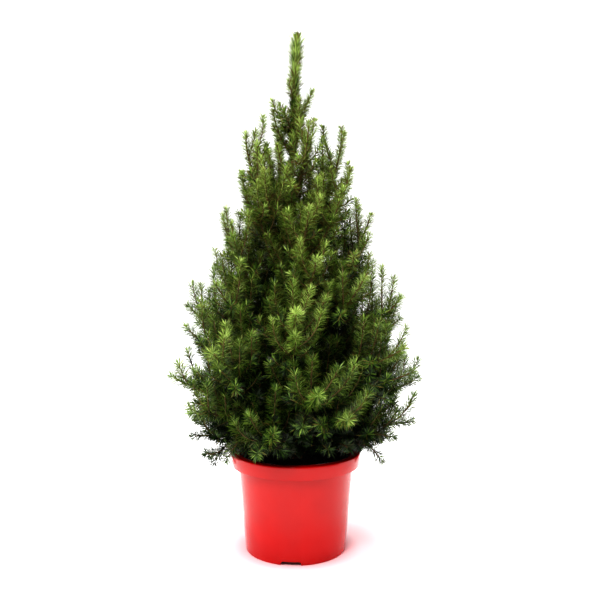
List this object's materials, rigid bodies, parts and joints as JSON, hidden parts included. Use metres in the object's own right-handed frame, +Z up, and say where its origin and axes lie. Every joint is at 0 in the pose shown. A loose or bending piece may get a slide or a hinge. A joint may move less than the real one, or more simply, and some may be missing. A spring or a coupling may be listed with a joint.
{
  "type": "potted dwarf spruce",
  "caption": "Young conical dwarf spruce with upswept needled shoots, growing in a round tapered plastic nursery pot with an overhanging lip and drain slots.",
  "frame": {"origin": "middle of the pot's flat underside, on the ground", "axes": "+Z up along the pot's axis and the trunk, -Y towards the viewer of the plant's front, +X to that viewer's right"},
  "size_m": [0.3688, 0.3594, 0.747],
  "materials": {
    "pot_plastic": "gloss",
    "potting_mix": "matte",
    "bark": "matte",
    "old_needles": "satin",
    "needles": "satin",
    "fresh_needles": "satin"
  },
  "bodies": {
    "root": {"bough_low_1": "bark", "bough_low_2": "bark", "bough_low_3": "bark", "bough_low_4": "bark", "bough_middle_1": "bark", "bough_middle_2": "bark", "bough_middle_3": "bark", "bough_shoulder_1": "bark", "bough_shoulder_2": "bark", "bough_shoulder_3": "bark", "bough_shoulder_4": "bark", "bough_skirt_1": "bark", "bough_skirt_2": "bark", "bough_skirt_3": "bark", "bough_waist_1": "bark", "bough_waist_2": "bark", "bough_waist_3": "bark", "bough_waist_4": "bark", "bough_wide_1": "bark", "bough_wide_2": "bark", "bough_wide_3": "bark", "bough_wide_4": "bark", "foliage_high_1": "fresh_needles", "foliage_high_2": "fresh_needles", "foliage_high_3": "fresh_needles", "foliage_high_4": "fresh_needles", "foliage_leader": "fresh_needles", "foliage_low_1": "old_needles", "foliage_low_2": "old_needles", "foliage_low_3": "old_needles", "foliage_low_4": "old_needles", "foliage_middle_1": "needles", "foliage_middle_2": "needles", "foliage_middle_3": "needles", "foliage_shoulder_1": "needles", "foliage_shoulder_2": "needles", "foliage_shoulder_3": "needles", "foliage_shoulder_4": "needles", "foliage_skirt_1": "old_needles", "foliage_skirt_2": "old_needles", "foliage_skirt_3": "old_needles", "foliage_top_1": "fresh_needles", "foliage_top_2": "fresh_needles", "foliage_top_3": "fresh_needles", "foliage_top_4": "fresh_needles", "foliage_upper_1": "fresh_needles", "foliage_upper_2": "fresh_needles", "foliage_upper_3": "fresh_needles", "foliage_upper_4": "fresh_needles", "foliage_waist_1": "needles", "foliage_waist_2": "needles", "foliage_waist_3": "needles", "foliage_waist_4": "needles", "foliage_wide_1": "needles", "foliage_wide_2": "needles", "foliage_wide_3": "needles", "foliage_wide_4": "needles", "pot": "pot_plastic", "soil": "potting_mix", "trunk": "bark"}
  },
  "joints": []
}
